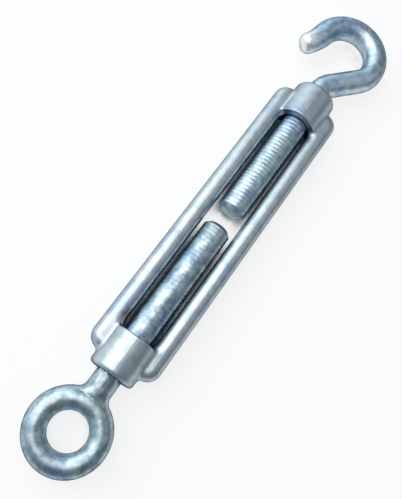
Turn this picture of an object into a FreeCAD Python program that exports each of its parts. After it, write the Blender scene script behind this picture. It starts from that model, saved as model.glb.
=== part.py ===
import FreeCAD, Part
import math
import os

# Rigging turnbuckle, open forged body, eye at one end and hook at the other, size M10.
# Millimetres. X runs along the pull, from the eye to the hook. Z is square to the plane of
# the two rails. The origin is the centre of the eye, because a rigger measures from there.
# The two bolts are plain rods at their thread's outer size: the turns are left to the finish.

os.makedirs("parts", exist_ok=True)

V = FreeCAD.Vector
ORIGIN = V(0, 0, 0)
AXIS_X = V(1, 0, 0)
AXIS_Z = V(0, 0, 1)

# Body: two rails joined by a tapped boss at each end.
body_length = 125.0       # over the two bosses
eye_boss_length = 13.8    # tapped length of the boss at the eye's end
hook_boss_length = 15.0   # and at the hook's end
boss_wall = 3.0           # metal round the thread
boss_stand_out = 4.2      # how far a boss passes the shoulders of the rails
boss_lip = 0.3            # how far a boss passes the window's end
rail_width = 6.7          # across the pull
rail_depth = 7.2          # along Z
rod_gap = 1.15            # between a thread and the rail beside it
shoulder_radius = 4.8     # outer corner of the rails, seen from above
window_corner = 3.2       # inner corner of the window, seen from above
boss_rim = 1.5            # round on the outer rim of a boss
boss_inner_rim = 0.6      # round on the inner rim of a boss
web_fillet = 1.6          # where a boss grows out of the rails
bore_chamfer = 0.3

# Thread, and how far the two bolts are wound in.
thread_diameter = 10.0
thread_clearance = 0.05   # all round, between a bolt and its boss
neck_reduction = 0.55     # the neck's radius under the thread's, as on a rolled thread
bolt_end_gap = 7.0        # between the inner ends of the two bolts
bolt_gap_shift = 1.1      # the middle of that gap lies this far towards the hook
bolt_end_chamfer = 1.3
neck_run_in = 2.0         # plain neck that lies inside the boss

# Eye: a forged ring whose hole has been trimmed through.
eye_reach = 20.2          # from the boss's end to the centre of the eye
eye_hole = 12.5           # across the trimmed hole
eye_wire = 7.65           # thickness of the ring
eye_trim = 0.15           # metal trimmed off inside the ring, which leaves a flat land
root_fillet = 3.2         # hollow curve on each side, where the neck runs into the ring
root_depth = 0.93         # thickness of the root inside the ring, as a share of the ring's

# Hook: the same rod, bent, with a tapered and slightly flared tip.
bowl_radius = 11.9        # to the middle of the rod
bowl_stand_off = 11.2     # from the boss's end to the bowl's circle
bowl_entry_radius = 9.6   # tighter curve where the lead runs into the bowl
neck_bend_offset = 5.3    # from the boss's end to the corner that the first bend rounds
neck_bend_radius = 7.0
bowl_end_angle = 80.0     # where the bowl's arc stops, turned from the line of pull
flare_radius = 25.0       # the tip bends back outwards on this radius
flare_turn = 26.0
tip_diameter = 7.4
tip_round = 2.7

thread_radius = thread_diameter / 2
neck_radius = thread_radius - neck_reduction
bore_radius = thread_radius + thread_clearance
boss_radius = thread_radius + boss_wall
window_width = thread_diameter + 2 * rod_gap
body_width = window_width + 2 * rail_width
body_start = eye_reach
body_end = body_start + body_length
body_middle = (body_start + body_end) / 2
bolt_gap_middle = body_middle + bolt_gap_shift
window_start = body_start + eye_boss_length - boss_lip
window_end = body_end - hook_boss_length + boss_lip
rail_round = 0.48 * min(rail_width, rail_depth)


def rounded_slab(start, end, width, depth, corner):
    """A slab along the line of pull, its four upright corners rounded."""
    slab = Part.makeBox(end - start, width, depth, V(start, -width / 2, -depth / 2))
    upright = [edge for edge in slab.Edges if abs(edge.tangentAt(edge.FirstParameter).z) > 0.9]
    return slab.makeFillet(corner, upright)


def edges_at_height(shape, height):
    """Edges that lie all over at one height."""
    return [edge for edge in shape.Edges
            if abs(edge.BoundBox.ZMin - height) < 0.001 and abs(edge.BoundBox.ZMax - height) < 0.001]


def turned(outline):
    """Solid of revolution about the line of pull. The outline is a closed run of (x, radius)."""
    points = [V(x, 0, radius) for x, radius in outline]
    return Part.Face(Part.makePolygon(points + points[:1])).revolve(ORIGIN, AXIS_X, 360)


def arc_in_plan(centre, radius, start, end):
    """Arc in the plane of the rails, from one angle to another in degrees, either way round."""
    def place(angle):
        return centre + V(radius * math.cos(math.radians(angle)), radius * math.sin(math.radians(angle)), 0)
    return Part.Arc(place(start), place((start + end) / 2), place(end)).toShape()


def rod_section(place, direction, radius):
    """Round section of a rod, square to the way that the rod runs."""
    return Part.Wire([Part.makeCircle(radius, place, direction)])


def oval(place, half_width, half_depth):
    """Oval section of the eye's root, square to the line of pull."""
    major, minor = max(half_width, half_depth), min(half_width, half_depth)
    ellipse = Part.Ellipse(ORIGIN, major, minor).toShape()
    ellipse.rotate(ORIGIN, V(1, 1, 1), 120)
    if half_depth > half_width:
        ellipse.rotate(ORIGIN, AXIS_X, 90)
    ellipse.translate(V(place, 0, 0))
    return Part.Wire([ellipse])


def make_boss(inner_face, outer_face):
    """One boss, turned about the line of pull, with a rounded rim at each face."""
    outward = 1 if outer_face > inner_face else -1
    boss_length = abs(outer_face - inner_face)

    def at(depth, radius):
        return V(inner_face + outward * depth, 0, radius)

    def rim(depth, radius, round_off, side):
        slant = round_off * (1 - math.sqrt(0.5))
        return Part.Arc(at(depth, radius - round_off), at(depth + side * slant, radius - slant),
                        at(depth + side * round_off, radius)).toShape()

    inner = rim(0, boss_radius, boss_inner_rim, 1)
    outer = rim(boss_length, boss_radius, boss_rim, -1)
    face = [Part.makeLine(at(0, 0), at(0, boss_radius - boss_inner_rim)), inner,
            Part.makeLine(at(boss_inner_rim, boss_radius), at(boss_length - boss_rim, boss_radius)), outer,
            Part.makeLine(at(boss_length, boss_radius - boss_rim), at(boss_length, 0)),
            Part.makeLine(at(boss_length, 0), at(0, 0))]
    return Part.Face(Part.Wire(face)).revolve(ORIGIN, AXIS_X, 360)


def is_web_edge(edge):
    """True where a rail meets the barrel of a boss, the hollow line that the forging fills."""
    span = edge.LastParameter - edge.FirstParameter
    points = [edge.valueAt(edge.FirstParameter + span * part) for part in (0.1, 0.5, 0.9)]
    on_barrel = all(abs(math.hypot(p.y, p.z) - boss_radius) < 0.001 for p in points)
    beside_rail = all(abs(p.z) < rail_depth / 2 + 0.001 and abs(p.y) > 0.001 for p in points)
    return on_barrel and beside_rail


def make_body():
    """Rails, shoulders and bosses of the one-piece forged body, with its two bores."""
    plan = rounded_slab(body_start + boss_stand_out, body_end - boss_stand_out,
                        body_width, rail_depth, shoulder_radius)
    plan = plan.cut(rounded_slab(window_start, window_end, window_width, 2 * rail_depth, window_corner))
    rims = edges_at_height(plan, rail_depth / 2) + edges_at_height(plan, -rail_depth / 2)
    rails = plan.makeFillet(rail_round, rims)

    eye_boss_face = body_start + eye_boss_length
    hook_boss_face = body_end - hook_boss_length
    forging = rails.fuse([make_boss(eye_boss_face, body_start), make_boss(hook_boss_face, body_end)])
    forging = forging.removeSplitter()
    forging = forging.makeFillet(web_fillet, [edge for edge in forging.Edges if is_web_edge(edge)])

    mouth = bore_radius + bore_chamfer
    for start, end in ((body_start, eye_boss_face), (hook_boss_face, body_end)):
        bore = [(start - 1, 0), (start - 1, mouth + 1), (start, mouth), (start + bore_chamfer, bore_radius),
                (end - bore_chamfer, bore_radius), (end, mouth), (end + 1, mouth + 1), (end + 1, 0)]
        forging = forging.cut(turned(bore))
    return forging


def make_rod(inner_end, neck_start, neck_end):
    """Threaded length and neck of a bolt. The neck lies on the side that the eye or hook is on."""
    out = 1 if neck_end > inner_end else -1
    outline = [(inner_end, 0), (inner_end, thread_radius - bolt_end_chamfer),
               (inner_end + out * bolt_end_chamfer, thread_radius),
               (neck_start - out * neck_reduction, thread_radius), (neck_start, neck_radius),
               (neck_end, neck_radius), (neck_end, 0)]
    return turned(outline)


def make_eye_bolt():
    """Forged eye, neck and left-hand threaded rod in one piece."""
    wire_radius = eye_wire / 2
    ring_radius = eye_hole / 2 - eye_trim + wire_radius
    outer_radius = ring_radius + wire_radius
    half_land = math.sqrt(wire_radius ** 2 - (wire_radius - eye_trim) ** 2)
    land_top = V(eye_hole / 2, 0, half_land)
    land_foot = V(eye_hole / 2, 0, -half_land)
    section = Part.Wire([Part.Arc(land_top, V(outer_radius, 0, 0), land_foot).toShape(),
                         Part.makeLine(land_foot, land_top)])
    ring = Part.Face(section).revolve(ORIGIN, AXIS_Z, 360)

    # The root's half width follows an arc that touches the neck and the ring's outline.
    arc_height = neck_radius + root_fillet
    root_end = math.sqrt((outer_radius + root_fillet) ** 2 - arc_height ** 2)
    arc_turn = math.acos(arc_height / (outer_radius + root_fillet))
    sections = []
    steps = 4
    for step in range(steps + 1):
        angle = arc_turn * step / steps
        place = root_end - root_fillet * math.sin(angle)
        half_width = arc_height - root_fillet * math.cos(angle)
        half_depth = neck_radius + (root_depth * wire_radius - neck_radius) * step / (steps + 1)
        sections.append((place, half_width, half_depth))
    widest = sections[-1][1] + 0.4 * root_fillet
    sections.append((ring_radius, widest, root_depth * wire_radius))
    root = Part.makeLoft([oval(*section) for section in sections], True, False)

    rod = make_rod(bolt_gap_middle - bolt_end_gap / 2, body_start + neck_run_in, root_end)
    bolt = ring.fuse([root, rod]).removeSplitter()
    hole = Part.makeCylinder(eye_hole / 2, 2 * eye_wire, V(0, 0, -eye_wire), AXIS_Z)
    return bolt.cut(hole)


def make_hook_bolt():
    """Bent hook, neck and right-hand threaded rod in one piece."""
    corner = V(body_end + neck_bend_offset, 0, 0)
    bowl_centre = V(body_end + bowl_stand_off + bowl_radius, 0, 0)
    entry_centre = bowl_centre - V(0, bowl_radius - bowl_entry_radius, 0)
    to_entry = entry_centre - corner
    lead = math.atan2(-to_entry.y, to_entry.x) + math.asin(bowl_entry_radius / to_entry.Length)
    lead_angle = math.degrees(lead)
    lead_way = V(math.cos(lead), -math.sin(lead), 0)
    bend_trim = neck_bend_radius * math.tan(lead / 2)
    bend_start = corner - AXIS_X * bend_trim
    bend_centre = bend_start - V(0, neck_bend_radius, 0)

    bend = arc_in_plan(bend_centre, neck_bend_radius, 90, 90 - lead_angle)
    entry = arc_in_plan(entry_centre, bowl_entry_radius, -90 - lead_angle, -90)
    bowl = arc_in_plan(bowl_centre, bowl_radius, -90, bowl_end_angle)
    straight = Part.makeLine(corner + lead_way * bend_trim, entry.Vertexes[0].Point)
    path = Part.Wire([bend, straight, entry, bowl])
    curved_rod = path.makePipeShell([rod_section(bend_start, AXIS_X, neck_radius)], True, False)

    turn = math.radians(bowl_end_angle)
    outward = V(math.cos(turn), math.sin(turn), 0)
    flare_start = bowl_centre + outward * bowl_radius
    flare_centre = flare_start + outward * flare_radius
    flare = arc_in_plan(flare_centre, flare_radius, bowl_end_angle + 180, bowl_end_angle + 180 - flare_turn)
    tip_turn = turn - math.radians(flare_turn)
    tip_way = V(-math.sin(tip_turn), math.cos(tip_turn), 0)
    tip_place = flare.Vertexes[1].Point
    tip = Part.Wire([flare]).makePipeShell(
        [rod_section(flare_start, V(-outward.y, outward.x, 0), neck_radius),
         rod_section(tip_place, tip_way, tip_diameter / 2)], True, False)
    end_edge = [edge for edge in tip.Edges if edge.CenterOfMass.distanceToPoint(tip_place) < 0.01]
    tip = tip.makeFillet(tip_round, end_edge)

    rod = make_rod(bolt_gap_middle + bolt_end_gap / 2, body_end - neck_run_in, bend_start.x)
    return rod.fuse([curved_rod, tip]).removeSplitter()


def save(name, shape):
    shape.exportStep("parts/" + name + ".step")
    box = shape.optimalBoundingBox()
    print(name, "volume", round(shape.Volume, 1), "solids", len(shape.Solids), "valid", shape.isValid(),
          "box", [round(value, 2) for value in (box.XMin, box.YMin, box.ZMin, box.XMax, box.YMax, box.ZMax)])


save("body", make_body())
save("eye_bolt", make_eye_bolt())
save("hook_bolt", make_hook_bolt())
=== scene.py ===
# %% [markdown]
# # A rigging turnbuckle in bright zinc plate
#
# A turnbuckle tightens a wire or a rope. This one has a forged body with two long rails and a tapped
# boss at each end, a bolt that ends in an eye, and a bolt that ends in a hook. Turning the body draws
# both bolts in or lets both out, because one thread is left-handed. Its shape comes from the CAD
# model. This lesson gives the bolts their threads and every surface its finish, and then sets up a
# small studio. The camera comes first, so that everything after it can be looked at as it is made.

# %% Load the frame
import math
import bpy
from mathutils import Matrix, Vector


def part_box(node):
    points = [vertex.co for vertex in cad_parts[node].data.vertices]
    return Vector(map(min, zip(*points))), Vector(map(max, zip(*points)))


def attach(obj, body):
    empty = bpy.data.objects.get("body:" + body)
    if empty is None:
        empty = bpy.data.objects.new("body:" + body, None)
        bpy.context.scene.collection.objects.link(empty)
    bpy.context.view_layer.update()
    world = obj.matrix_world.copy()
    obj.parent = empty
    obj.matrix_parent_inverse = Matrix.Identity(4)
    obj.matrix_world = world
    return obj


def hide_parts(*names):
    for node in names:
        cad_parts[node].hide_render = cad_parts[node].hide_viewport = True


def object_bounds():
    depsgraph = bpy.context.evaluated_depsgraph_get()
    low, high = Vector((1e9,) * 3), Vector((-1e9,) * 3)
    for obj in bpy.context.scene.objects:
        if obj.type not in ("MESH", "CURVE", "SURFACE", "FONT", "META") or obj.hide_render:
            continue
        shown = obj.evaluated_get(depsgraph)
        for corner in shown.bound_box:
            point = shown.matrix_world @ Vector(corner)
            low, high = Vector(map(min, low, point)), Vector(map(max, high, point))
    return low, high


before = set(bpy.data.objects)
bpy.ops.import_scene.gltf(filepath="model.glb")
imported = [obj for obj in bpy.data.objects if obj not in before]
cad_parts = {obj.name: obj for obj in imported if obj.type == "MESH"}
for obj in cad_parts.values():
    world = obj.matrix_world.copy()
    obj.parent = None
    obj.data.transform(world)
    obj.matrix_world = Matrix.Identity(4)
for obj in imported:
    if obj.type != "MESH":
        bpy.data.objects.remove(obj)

MM = 0.001  # Blender works in metres here


def plain(box):
    """A box as plain lists of numbers, so that it can be written to a file."""
    return [[float(value) for value in corner] for corner in box]


def in_mm(place):
    """A place in millimetres, rounded for printing."""
    return [round(value / MM, 2) for value in place]


cad_box = plain(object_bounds())
print("CAD box in mm:", [in_mm(corner) for corner in cad_box])

# %% [markdown]
# ## Camera
#
# The camera looks down on the flat-lying turnbuckle from about 19 cm. Being that near, it shows some
# of the hook bolt's end and of the bosses' inner faces. The view is built from turns about the part's
# own axes: the lean lets the hook's end lie further away, yaw and roll are the small remainders, and
# a last turn in the picture makes the line of pull run from the lower left to the upper right.

# %% Camera
body_low, body_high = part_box("body")
middle = (body_low + body_high) / 2

stand_off = 197.1 * MM                # from the body's middle to the camera, along the view
aim_back = 11.64 * MM                 # the picture's centre lies this far towards the eye
aim_side = 0.47 * MM                  # and this far towards Y
lean = math.radians(17.55)
yaw = math.radians(-0.24)
roll = math.radians(0.55)
pull_in_picture = math.radians(53.7)  # up from level
lens, sensor = 41.69, 36              # in millimetres, as Blender's camera takes them
nearest, furthest = 0.01, 10          # in metres: what it draws

from_part = Matrix.Rotation(lean, 3, "Y") @ Matrix.Rotation(yaw, 3, "Z") @ Matrix.Rotation(roll, 3, "X")
to_part = from_part.transposed()
right = to_part @ Vector((math.cos(pull_in_picture), -math.sin(pull_in_picture), 0))
up = to_part @ Vector((math.sin(pull_in_picture), math.cos(pull_in_picture), 0))
back = to_part @ Vector((0, 0, 1))
viewpoint = middle + to_part @ Vector((-aim_back, aim_side, stand_off))

camera_data = bpy.data.cameras.new("camera")
camera_data.lens = lens
camera_data.sensor_width = sensor
camera_data.clip_start = nearest
camera_data.clip_end = furthest
camera = bpy.data.objects.new("camera", camera_data)
bpy.context.scene.collection.objects.link(camera)
turned = Matrix((right, up, back)).transposed()
camera.matrix_world = Matrix.Translation(viewpoint) @ turned.to_4x4()
bpy.context.scene.camera = camera
print("camera at", in_mm(viewpoint), "mm")

# %% [markdown]
# ## Threads
#
# Both bolts have a metric thread, 10 mm across with a pitch of 1.5 mm, and the eye's is left-handed.
# A thread could be drawn as bumps in the material, but then its outline would stay straight, and the
# shank would look plain as soon as it is drawn out of the boss. So it is modelled. A cylinder is
# divided into rings, eight to each turn, and every point is moved in by the depth of a groove that
# winds round it. The rolled and plated grooves look shallow and soft from a distance, so they are
# drawn less deep than a sharp thread of this size.
#
# The free end gets its chamfer in the same pass, and so does the run-out, where the thread starts
# from the thinner neck.

# %% Thread sizes
thread_radius = 5.0 * MM
neck_radius = 4.45 * MM
end_chamfer = 1.3 * MM
run_out_slope = 0.4     # radius gained for each unit of length
pitch = 1.5 * MM
groove_depth = 0.06 * MM
groove_narrowing = 1.5  # a power: 1 is a plain wave, and more makes the grooves narrower
rings_per_turn = 8
points_round = 48


def deselect():
    """Clears the selection, because an operator acts on all that is selected."""
    bpy.ops.object.select_all(action="DESELECT")


def threaded_shank(name, neck, free_end, hand):
    """A threaded rod along X. hand is 1 for a right-hand thread and -1 for a left-hand one."""
    length = abs(free_end - neck)
    deselect()
    bpy.ops.mesh.primitive_cylinder_add(vertices=points_round, radius=thread_radius, depth=length,
                                        location=((neck + free_end) / 2, 0, 0),
                                        rotation=(0, math.pi / 2, 0))
    rod = bpy.context.object
    rod.name = name
    bpy.ops.object.transform_apply(location=True, rotation=True, scale=True)
    lengthwise = [edge.index for edge in rod.data.edges
                  if abs(rod.data.vertices[edge.vertices[0]].co.x
                         - rod.data.vertices[edge.vertices[1]].co.x) > length / 2]
    bpy.ops.object.mode_set(mode="EDIT")
    bpy.ops.mesh.select_mode(type="EDGE")
    bpy.ops.mesh.select_all(action="DESELECT")
    bpy.ops.object.mode_set(mode="OBJECT")
    for index in lengthwise:
        rod.data.edges[index].select = True
    bpy.ops.object.mode_set(mode="EDIT")
    bpy.ops.mesh.subdivide_edgering(number_cuts=round(length / pitch * rings_per_turn),
                                    interpolation="LINEAR")
    bpy.ops.object.mode_set(mode="OBJECT")
    for point in rod.data.vertices:
        radius = math.hypot(point.co.y, point.co.z)
        turn = math.atan2(point.co.z, point.co.y) / math.tau
        winding = (point.co.x - neck) / pitch - hand * turn
        wave = 0.5 + 0.5 * math.cos(math.tau * winding)
        groove = groove_depth * wave ** groove_narrowing
        chamfer = thread_radius - end_chamfer + abs(free_end - point.co.x)
        run_out = neck_radius + run_out_slope * abs(point.co.x - neck)
        wanted = min(thread_radius - groove, chamfer, run_out)
        point.co.y *= wanted / radius
        point.co.z *= wanted / radius
    print(name, "has", len(rod.data.polygons), "faces and", round(length / pitch, 1), "turns")
    return rod


# %% [markdown]
# The eye and the hook themselves are right as the CAD made them. A copy of each bolt is merged, cut
# off just before its thread starts, and joined to its threaded shank. The shank's cap is taken off,
# and the two open rings are bridged, so that each bolt is one closed skin with nothing inside. It
# then stands for the CAD bolt. The seam lies inside the boss when the turnbuckle is at rest.

# %% Threaded bolts
neck_run_in = 1.6 * MM          # from the boss's outer end to the start of the threaded shank
seam = 0.3 * MM                 # the bridged band before it
merge_within = 0.005 * MM
smooth_up_to = math.radians(32)  # a steeper edge, such as the one round the end face, stays sharp


def threaded_bolt(node_name, name, thread_start, free_end, hand):
    """The CAD bolt with its plain shank exchanged for a threaded one."""
    bolt = bpy.data.objects.new(name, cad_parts[node_name].data.copy())
    bpy.context.scene.collection.objects.link(bolt)
    shank = threaded_shank(name + "_shank", thread_start, free_end, hand)
    deselect()
    bolt.select_set(True)
    bpy.context.view_layer.objects.active = bolt
    bpy.ops.object.mode_set(mode="EDIT")
    bpy.ops.mesh.select_all(action="SELECT")
    bpy.ops.mesh.remove_doubles(threshold=merge_within)
    inwards = math.copysign(1, free_end - thread_start)
    bpy.ops.mesh.bisect(plane_co=(thread_start - inwards * seam, 0, 0),
                        plane_no=(inwards, 0, 0), clear_outer=True)
    bpy.ops.object.mode_set(mode="OBJECT")
    shank.select_set(True)
    bpy.ops.object.join()

    # The shank's cap is the only face there with a corner for each point round the rod.
    bpy.ops.object.mode_set(mode="EDIT")
    bpy.ops.mesh.select_mode(type="FACE")
    bpy.ops.mesh.select_all(action="DESELECT")
    bpy.ops.object.mode_set(mode="OBJECT")
    for face in bolt.data.polygons:
        if len(face.vertices) == points_round and abs(face.center.x - thread_start) < seam / 2:
            face.select = True
    bpy.ops.object.mode_set(mode="EDIT")
    bpy.ops.mesh.delete(type="FACE")

    # Now the two rings are the only open edges.
    bpy.ops.mesh.select_mode(type="EDGE")
    bpy.ops.mesh.select_non_manifold()
    bpy.ops.mesh.bridge_edge_loops()
    bpy.ops.mesh.select_all(action="SELECT")
    bpy.ops.mesh.normals_make_consistent(inside=False)
    bpy.ops.object.mode_set(mode="OBJECT")
    bpy.ops.object.shade_smooth_by_angle(angle=smooth_up_to)
    return bolt


eye_bolt_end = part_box("eye_bolt")[1].x
hook_low, hook_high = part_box("hook_bolt")
eye_bolt = threaded_bolt("eye_bolt", "threaded_eye_bolt", body_low.x + neck_run_in, eye_bolt_end, -1)
hook_bolt = threaded_bolt("hook_bolt", "threaded_hook_bolt", body_high.x - neck_run_in, hook_low.x, 1)
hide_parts("eye_bolt")
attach(eye_bolt, "eye_end")
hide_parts("hook_bolt")
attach(hook_bolt, "hook_end")

# %% [markdown]
# ## Colours and nodes
#
# Colours are written as sRGB hex values, which are easy to compare, and one function turns them into
# the linear values that Blender's sockets expect. Another adds a node with its settings and its
# links, so that a material reads from top to bottom. Three short ones use it for what comes up again
# and again: a ramp of colours, a mix of two colours, and a range of numbers mapped to another.

# %% Colour and node helpers
def linear(code):
    """An sRGB colour such as "#A0B0C0" as linear red, green, blue and alpha."""
    parts = [int(code[i:i + 2], 16) / 255 for i in (1, 3, 5)]
    return [c / 12.92 if c <= 0.04045 else ((c + 0.055) / 1.055) ** 2.4 for c in parts] + [1.0]


def add(tree, kind, settings=None, **links):
    """Adds a node. settings holds properties and input values by name, links the sockets that feed
    its inputs, by name with _ for a space, or by number as in in_0."""
    node = tree.nodes.new("ShaderNode" + kind)
    for name, value in (settings or {}).items():
        if hasattr(node, name):
            setattr(node, name, value)
        else:
            node.inputs[name].default_value = value
    for name, socket in links.items():
        key = int(name[3:]) if name.startswith("in_") else name.replace("_", " ")
        tree.links.new(socket, node.inputs[key])
    return node


def ramp(tree, factor, stops):
    """A ramp through stops, which are pairs of a position and a hex colour, lowest first."""
    node = add(tree, "ValToRGB", Fac=factor)
    elements = node.color_ramp.elements
    for element, (position, code) in zip(elements, (stops[0], stops[-1])):
        element.position = position
        element.color = linear(code)
    for position, code in stops[1:-1]:
        elements.new(position).color = linear(code)
    return node.outputs["Color"]


def mix(tree, share, first, second, blend="MIX"):
    """Mixes two colours. share is a socket or a number, each colour a socket or a hex value."""
    node = add(tree, "Mix", {"data_type": "RGBA", "blend_type": blend})
    # The node has inputs of the same name for every kind of value: 6 and 7 are its colours.
    for number, value in ((0, share), (6, first), (7, second)):
        if isinstance(value, bpy.types.NodeSocket):
            tree.links.new(value, node.inputs[number])
        else:
            node.inputs[number].default_value = linear(value) if isinstance(value, str) else value
    return node.outputs[2]


def mapped(tree, value, start, end, to_start=0.0, to_end=1.0, curve="LINEAR"):
    """Maps a value between start and end to one between to_start and to_end, and no further."""
    node = add(tree, "MapRange", {"interpolation_type": curve, "From Min": start, "From Max": end,
                                  "To Min": to_start, "To Max": to_end}, Value=value)
    return node.outputs["Result"]


def new_material(name):
    """An empty node material and its tree."""
    material = bpy.data.materials.new(name)
    material.use_nodes = True
    material.node_tree.nodes.clear()
    return material, material.node_tree


print("a middle grey, #808080, is", round(linear("#808080")[0], 3), "in linear light")

# %% [markdown]
# ## Bright zinc
#
# Rigging like this is forged from mild steel and electroplated with zinc. A thin blue passivation
# seals the zinc and tints it: mostly a cool grey, with a blue, a green or a straw blush where the
# film is thicker. The forging's skin shows through the plate as soft dents a millimetre or two across
# and makes the shine satin rather than mirror-like. In tight corners the colour is darkened as
# painted shade.
#
# All of it could be painted on, but node patterns in millimetres stay sharp at any distance and need
# no unwrapping. Four noises do the work: a broad one for the blush, a middle one for the mottling,
# one for the dents, and a fine one for the grain. Ambient occlusion finds the corners, where the
# colour is darkened as painted shade. The rim of a metal surface darkens through the shader's own
# edge tint.

# %% Zinc finish
mottle_size = 2.6 * MM
blush_size = 9 * MM
grain_size = 0.5 * MM
grain_depth = 0.01 * MM
dent_depth = 0.08 * MM
corner_reach = 3.5 * MM          # how near another surface has to be for a corner
# The corner shade is painted: these are the ambient occlusion where it is full and where it ends,
shaded_ao, unshaded_ao = 0.2, 0.65         # the ambient occlusion in a deep corner, and where there is none
# and this is the colour that deep corners are painted darker to, as shade.
corner_shade_colour = "#42535F"
edge_tint = "#3C464D"            # the metal's colour where it is seen edge on
smoothest, roughest = 0.34, 0.43
noise_low, noise_high = 0.3, 0.7  # most of a noise lies between these

# The blush runs from blue through none to green and straw.
blush_stops = ((0.36, "#E8EEFB"), (0.45, "#FFFFFF"), (0.54, "#FFFFFF"), (0.6, "#F1F9F6"),
               (0.66, "#FFFCF6"))


def bright_zinc(name, light, dark, dents, dent_size):
    """Zinc plate with a blue passivation. light and dark are the ends of its mottling, dents is how
    strongly the skin of the steel shows, and dent_size is how far apart its dents lie, in metres."""
    material, tree = new_material(name)
    place = add(tree, "TexCoord").outputs["Object"]

    mottle = add(tree, "TexNoise", {"Scale": 1 / mottle_size, "Detail": 4.0, "Roughness": 0.55},
                 Vector=place)
    tone = ramp(tree, mottle.outputs["Fac"], ((0.38, dark), (0.6, light)))
    film = add(tree, "TexNoise", {"Scale": 1 / blush_size, "Detail": 2.0, "Distortion": 0.4},
               Vector=place)
    blush = ramp(tree, film.outputs["Fac"], blush_stops)
    tinted = mix(tree, 1.0, tone, blush, "MULTIPLY")

    # Painted shade: where ambient occlusion finds a corner, the plate's colour darkens towards the
    # corner shade colour.
    corner = add(tree, "AmbientOcclusion", {"Distance": corner_reach, "samples": 8})
    unshaded = mapped(tree, corner.outputs["AO"], shaded_ao, unshaded_ao)
    plate = mix(tree, unshaded, corner_shade_colour, tinted)

    grain = add(tree, "TexNoise", {"Scale": 1 / grain_size, "Detail": 3.0, "Roughness": 0.6},
                Vector=place)
    roughness = mapped(tree, grain.outputs["Fac"], noise_low, noise_high, smoothest, roughest)
    skin = add(tree, "TexNoise", {"Scale": 1 / dent_size, "Detail": 3.0, "Roughness": 0.5},
               Vector=place)
    relief = add(tree, "Bump", {"Strength": dents, "Distance": dent_depth},
                 Height=skin.outputs["Fac"])
    fine_relief = add(tree, "Bump", {"Strength": 0.25, "Distance": grain_depth},
                      Height=grain.outputs["Fac"], Normal=relief.outputs["Normal"])
    shader = add(tree, "BsdfPrincipled", {"Metallic": 1.0, "Specular Tint": linear(edge_tint)},
                 Base_Color=plate, Roughness=roughness, Normal=fine_relief.outputs["Normal"])
    add(tree, "OutputMaterial", Surface=shader.outputs["BSDF"])
    print(name, "has", len(tree.nodes), "nodes")
    return material


forged_zinc = bright_zinc("bright_zinc_on_forging", "#C6CDD2", "#B7C1C8", 0.25, 2.4 * MM)
eye_zinc = bright_zinc("bright_zinc_on_eye_bolt", "#BFCDD5", "#92A3AE", 0.5, 2.2 * MM)
# The hook bolt's paler colours are partly its own plate and partly painted light.
hook_zinc_with_painted_light = bright_zinc("bright_zinc_and_painted_light_on_hook_bolt", "#D0DDE6", "#A8BAC7", 0.5, 2.0 * MM)

# %% [markdown]
# The body is a closed-die forging with a fairly even skin. The eye and the hook are bent and forged
# from bar. The eye is given a greyer and more blotched plate. The hook is given a paler one, partly its
# own tone and partly painted light that lifts the whole hook. So the one function is called three
# times with other numbers, which keeps them related.
#
# Two places differ. In the corner of the window beside the eye bolt the plate never grew thick
# enough, and a small rust stain has come through. At the hook's tip a nearly white patch is a painted
# highlight, where the light's reflection falls. Each is a soft-edged ball in space, broken up by
# noise, that mixes its own colour into the plate's.

# %% Stain and painted highlight
ragged_size = 1.2 * MM  # of the noise that breaks up a patch's edge
rust_place = (body_low.x + 18.1 * MM, 6.8 * MM, 1.6 * MM)
painted_highlight_place = (hook_high.x - 23.64 * MM, hook_high.y - 2.8 * MM, 3.0 * MM)


def patch(material, centre, core, reach, share, colour):
    """Mixes a share of colour into the plate round centre, fully within core and not past reach."""
    tree = material.node_tree
    shader = tree.nodes["Principled BSDF"]
    plate = shader.inputs["Base Color"].links[0].from_socket
    place = add(tree, "TexCoord").outputs["Object"]
    away = add(tree, "VectorMath", {"operation": "DISTANCE"}, in_0=place)
    away.inputs[1].default_value = centre
    edge = add(tree, "TexNoise", {"Scale": 1 / ragged_size, "Detail": 3.0}, Vector=place)
    ragged = add(tree, "Math", {"operation": "MULTIPLY"}, in_0=away.outputs["Value"],
                 in_1=edge.outputs["Fac"])
    # The noise averages a half, so the two radii are halved too.
    fade = mapped(tree, ragged.outputs["Value"], core / 2, reach / 2, share, 0.0)
    tree.links.new(mix(tree, fade, plate, colour), shader.inputs["Base Color"])
    print("patch of", colour, "at", in_mm(centre), "mm in", material.name)


patch(forged_zinc, rust_place, core=0.8 * MM, reach=3.0 * MM, share=0.8, colour="#6B4A33")
# A painted highlight: nearly white colour over the top of the hook's tip.
patch(hook_zinc_with_painted_light, painted_highlight_place, core=2.5 * MM, reach=7.0 * MM, share=0.9, colour="#FBFBFA")

# %% Give the pieces their finish
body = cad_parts["body"]
for slot in body.material_slots:
    slot.material = forged_zinc
for bolt, finish in ((eye_bolt, eye_zinc), (hook_bolt, hook_zinc_with_painted_light)):
    bolt.data.materials.clear()
    bolt.data.materials.append(finish)
    print(bolt.name, "has", len(bolt.data.polygons), "faces in", finish.name)

# %% [markdown]
# ## Floor
#
# The turnbuckle lies on matt white card. Card could simply be a pale diffuse surface, but then its
# white depends on the lamps. So what the camera, a reflection or a glass sees of it is mostly white
# light of strength 1, and the rest is lit card, which keeps the shadow. In the slots between the
# bolts and the rails hardly any light reaches the card. Ambient occlusion finds them and takes the
# white away, and it paints the card there a dark blue-grey as painted shade. It looks twice, because
# card that is close under one bar alone should stay white, and so should the opening between the two
# bolts' ends: only card that is short of air both within 7 mm and within 15 mm is dark.

# %% Floor
floor_side = 6           # metres, so that the camera sees no edge of it
card_colour = "#FAFAFA"
# Painted shade: the card's colour in the slots.
painted_slot_shade = "#3A5566"
most_white = 0.8         # the white light's share in the open

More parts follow.
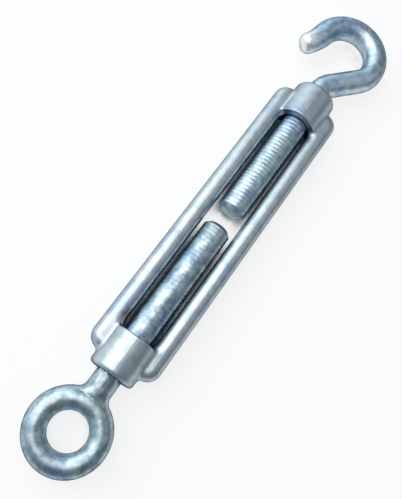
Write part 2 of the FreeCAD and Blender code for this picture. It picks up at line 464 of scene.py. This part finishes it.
deselect()
bpy.ops.mesh.primitive_plane_add(size=floor_side, location=(0, 0, cad_box[0][2]))
floor = bpy.context.object
floor.name = "floor"
white_card, tree = new_material("matt_white_card")


def openness(distance, samples, shut, clear):
    """1 where the card has open air within distance, and 0 where it is shut in. shut and clear are
    the ambient occlusion at those two ends."""
    air = add(tree, "AmbientOcclusion", {"Distance": distance, "samples": samples})
    return mapped(tree, air.outputs["AO"], shut, clear, curve="SMOOTHSTEP")


wide = openness(15 * MM, samples=32, shut=0.29, clear=0.37)
near = openness(7 * MM, samples=16, shut=0.62, clear=0.76)
open_air = add(tree, "Math", {"operation": "MAXIMUM"}, in_0=wide, in_1=near).outputs["Value"]
# Painted shade: the card's diffuse colour turns dark blue-grey where the ambient occlusion finds it
# shut in.
card = add(tree, "BsdfDiffuse", Color=mix(tree, open_air, painted_slot_shade, card_colour))
ray = add(tree, "LightPath")
direct = add(tree, "Math", {"operation": "ADD"}, in_0=ray.outputs["Is Camera Ray"],
             in_1=ray.outputs["Is Glossy Ray"])
seen = add(tree, "Math", {"operation": "ADD", "use_clamp": True}, in_0=direct.outputs["Value"],
           in_1=ray.outputs["Is Transmission Ray"])
share = add(tree, "Math", {"operation": "MULTIPLY"}, in_0=seen.outputs["Value"],
            in_1=mapped(tree, open_air, 0.0, 1.0, 0.0, most_white))
white = add(tree, "Emission", {"Strength": 1.0})
lit = add(tree, "MixShader", in_0=share.outputs["Value"], in_1=card.outputs["BSDF"],
          in_2=white.outputs["Emission"])
add(tree, "OutputMaterial", Surface=lit.outputs["Shader"])
floor.data.materials.append(white_card)
print("floor at", in_mm(cad_box[0])[2], "mm, in", white_card.name)

# %% [markdown]
# ## Light
#
# Metal shows its surroundings, so the light is mostly something to be mirrored. One large softbox
# hangs over the turnbuckle, a little to one side of it. It draws the long white streak along each
# rail, bolt and boss. A much weaker lamp on the other side only keeps the hook from going dull. The
# room is bluish: dim on that other side, where it darkens the lower flanks, brighter behind the
# softbox, and brightest far out beyond the hook.

# %% World
room_colour = "#DCF1FF"
dim_side, softbox_side = 0.27, 1.15  # the room's level across the line of pull
beyond_hook = (0.81, 0.56, 0.15)     # the way to the brightest corner
corner_starts, corner_extra = 0.75, 0.6  # how close to that way it starts, and what it adds

world = bpy.data.worlds.new("studio")
bpy.context.scene.world = world
world.use_nodes = True
tree = world.node_tree
tree.nodes.clear()
view = add(tree, "TexCoord").outputs["Generated"]
sideways = add(tree, "SeparateXYZ", Vector=view).outputs["Y"]
side_level = mapped(tree, sideways, 0.0, 1.0, dim_side, softbox_side, "SMOOTHSTEP")
towards_corner = add(tree, "VectorMath", {"operation": "DOT_PRODUCT"}, in_0=view)
towards_corner.inputs[1].default_value = beyond_hook
glow = mapped(tree, towards_corner.outputs["Value"], corner_starts, 1.0, 0.0, corner_extra)
level = add(tree, "Math", {"operation": "ADD"}, in_0=side_level, in_1=glow)
room = add(tree, "Background", {"Color": linear(room_colour)}, Strength=level.outputs["Value"])
add(tree, "OutputWorld", Surface=room.outputs["Background"])
print("the room's level runs from", dim_side, "to", softbox_side + corner_extra, "at most")


# %% Lamps
def lamp(name, place, aim, size, power, colour):
    """A rectangular area lamp of that size at place, turned towards aim."""
    data = bpy.data.lights.new(name, "AREA")
    data.shape = "RECTANGLE"
    data.size, data.size_y = size
    data.energy = power
    data.color = linear(colour)[:3]
    holder = bpy.data.objects.new(name, data)
    bpy.context.scene.collection.objects.link(holder)
    holder.location = place
    way = Vector(aim) - Vector(place)
    holder.rotation_euler = way.to_track_quat("-Z", "Y").to_euler()
    print(name, "is", round(way.length, 2), "m away, with", power, "W")


lamp("softbox", place=(0.09, 0.215, 0.4), aim=(0.09, 0, 0), size=(0.5, 0.58), power=1.75,
     colour="#FFFBF5")
lamp("fill", place=(0.28, -0.26, 0.36), aim=(0.2, 0, 0), size=(0.4, 0.3), power=0.13,
     colour="#F0F7FF")

# %% Finish
bpy.context.scene.view_settings.view_transform = "Standard"
